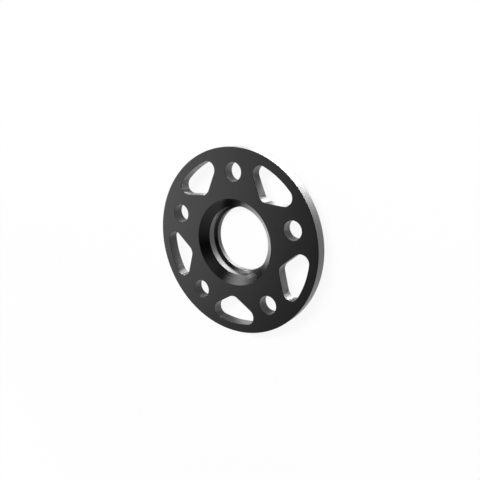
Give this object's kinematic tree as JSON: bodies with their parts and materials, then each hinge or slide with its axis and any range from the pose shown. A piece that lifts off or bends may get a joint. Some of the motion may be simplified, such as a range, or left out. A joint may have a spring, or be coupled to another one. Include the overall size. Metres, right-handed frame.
{
  "type": "wheel spacer",
  "caption": "Hub-centric wheel spacer: a black disc with round bolt holes, rounded triangular windows, a chamfered hub bore and a lip that centres the wheel.",
  "frame": {"origin": "on the axis, at the wheel lip's end, which is the lowest point", "axes": "+Z along the bore, from the wheel side up to the hub side; +Y from the axis through one bolt hole"},
  "size_m": [0.15, 0.15, 0.0192],
  "materials": {
    "black_anodised_aluminium": "satin black anodised, fine turned"
  },
  "bodies": {
    "root": {"spacer": "black_anodised_aluminium"}
  },
  "joints": []
}
